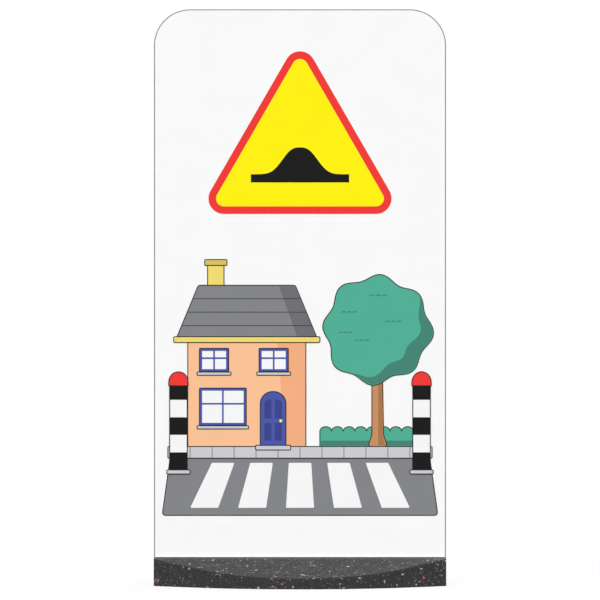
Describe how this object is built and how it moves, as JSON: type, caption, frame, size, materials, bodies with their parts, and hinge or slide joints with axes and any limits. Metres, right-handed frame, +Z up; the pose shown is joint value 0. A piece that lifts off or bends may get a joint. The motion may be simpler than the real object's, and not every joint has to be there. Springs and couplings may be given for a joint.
{
  "type": "pavement sign",
  "caption": "Free-standing pavement sign: a round-topped printed panel in a shoe rail, held in the slot of a low bowed rubber base.",
  "frame": {"origin": "on the ground, under the middle of the base", "axes": "+X to the right along the panel as its front is seen, -Y out of the front face, +Z up"},
  "size_m": [0.5, 0.4, 0.984],
  "materials": {
    "recycled_rubber": "matte",
    "grey_core_sheet": "matte",
    "white_print_film": "satin",
    "mill_aluminium": "satin",
    "stainless_steel": "satin"
  },
  "bodies": {
    "base": {"rubber_base": "recycled_rubber", "base_screw_1": "stainless_steel", "base_screw_2": "stainless_steel", "base_screw_3": "stainless_steel", "base_screw_4": "stainless_steel", "split_washer_1": "stainless_steel", "split_washer_2": "stainless_steel", "split_washer_3": "stainless_steel", "split_washer_4": "stainless_steel", "base_washer_1": "stainless_steel", "base_washer_2": "stainless_steel", "base_washer_3": "stainless_steel", "base_washer_4": "stainless_steel"},
    "panel": {"shoe_rail": "mill_aluminium", "rail_rivet_1": "mill_aluminium", "rail_rivet_2": "mill_aluminium", "rail_rivet_3": "mill_aluminium", "rail_rivet_4": "mill_aluminium", "rail_rivet_5": "mill_aluminium", "panel_sheet": "grey_core_sheet", "front_print_film": "white_print_film", "rear_print_film": "white_print_film"}
  },
  "joints": [
    {"name": "panel_lift", "type": "slide", "parent": "base", "child": "panel", "axis": [0, 0, 1], "range_m": [0, 0.06]}
  ]
}
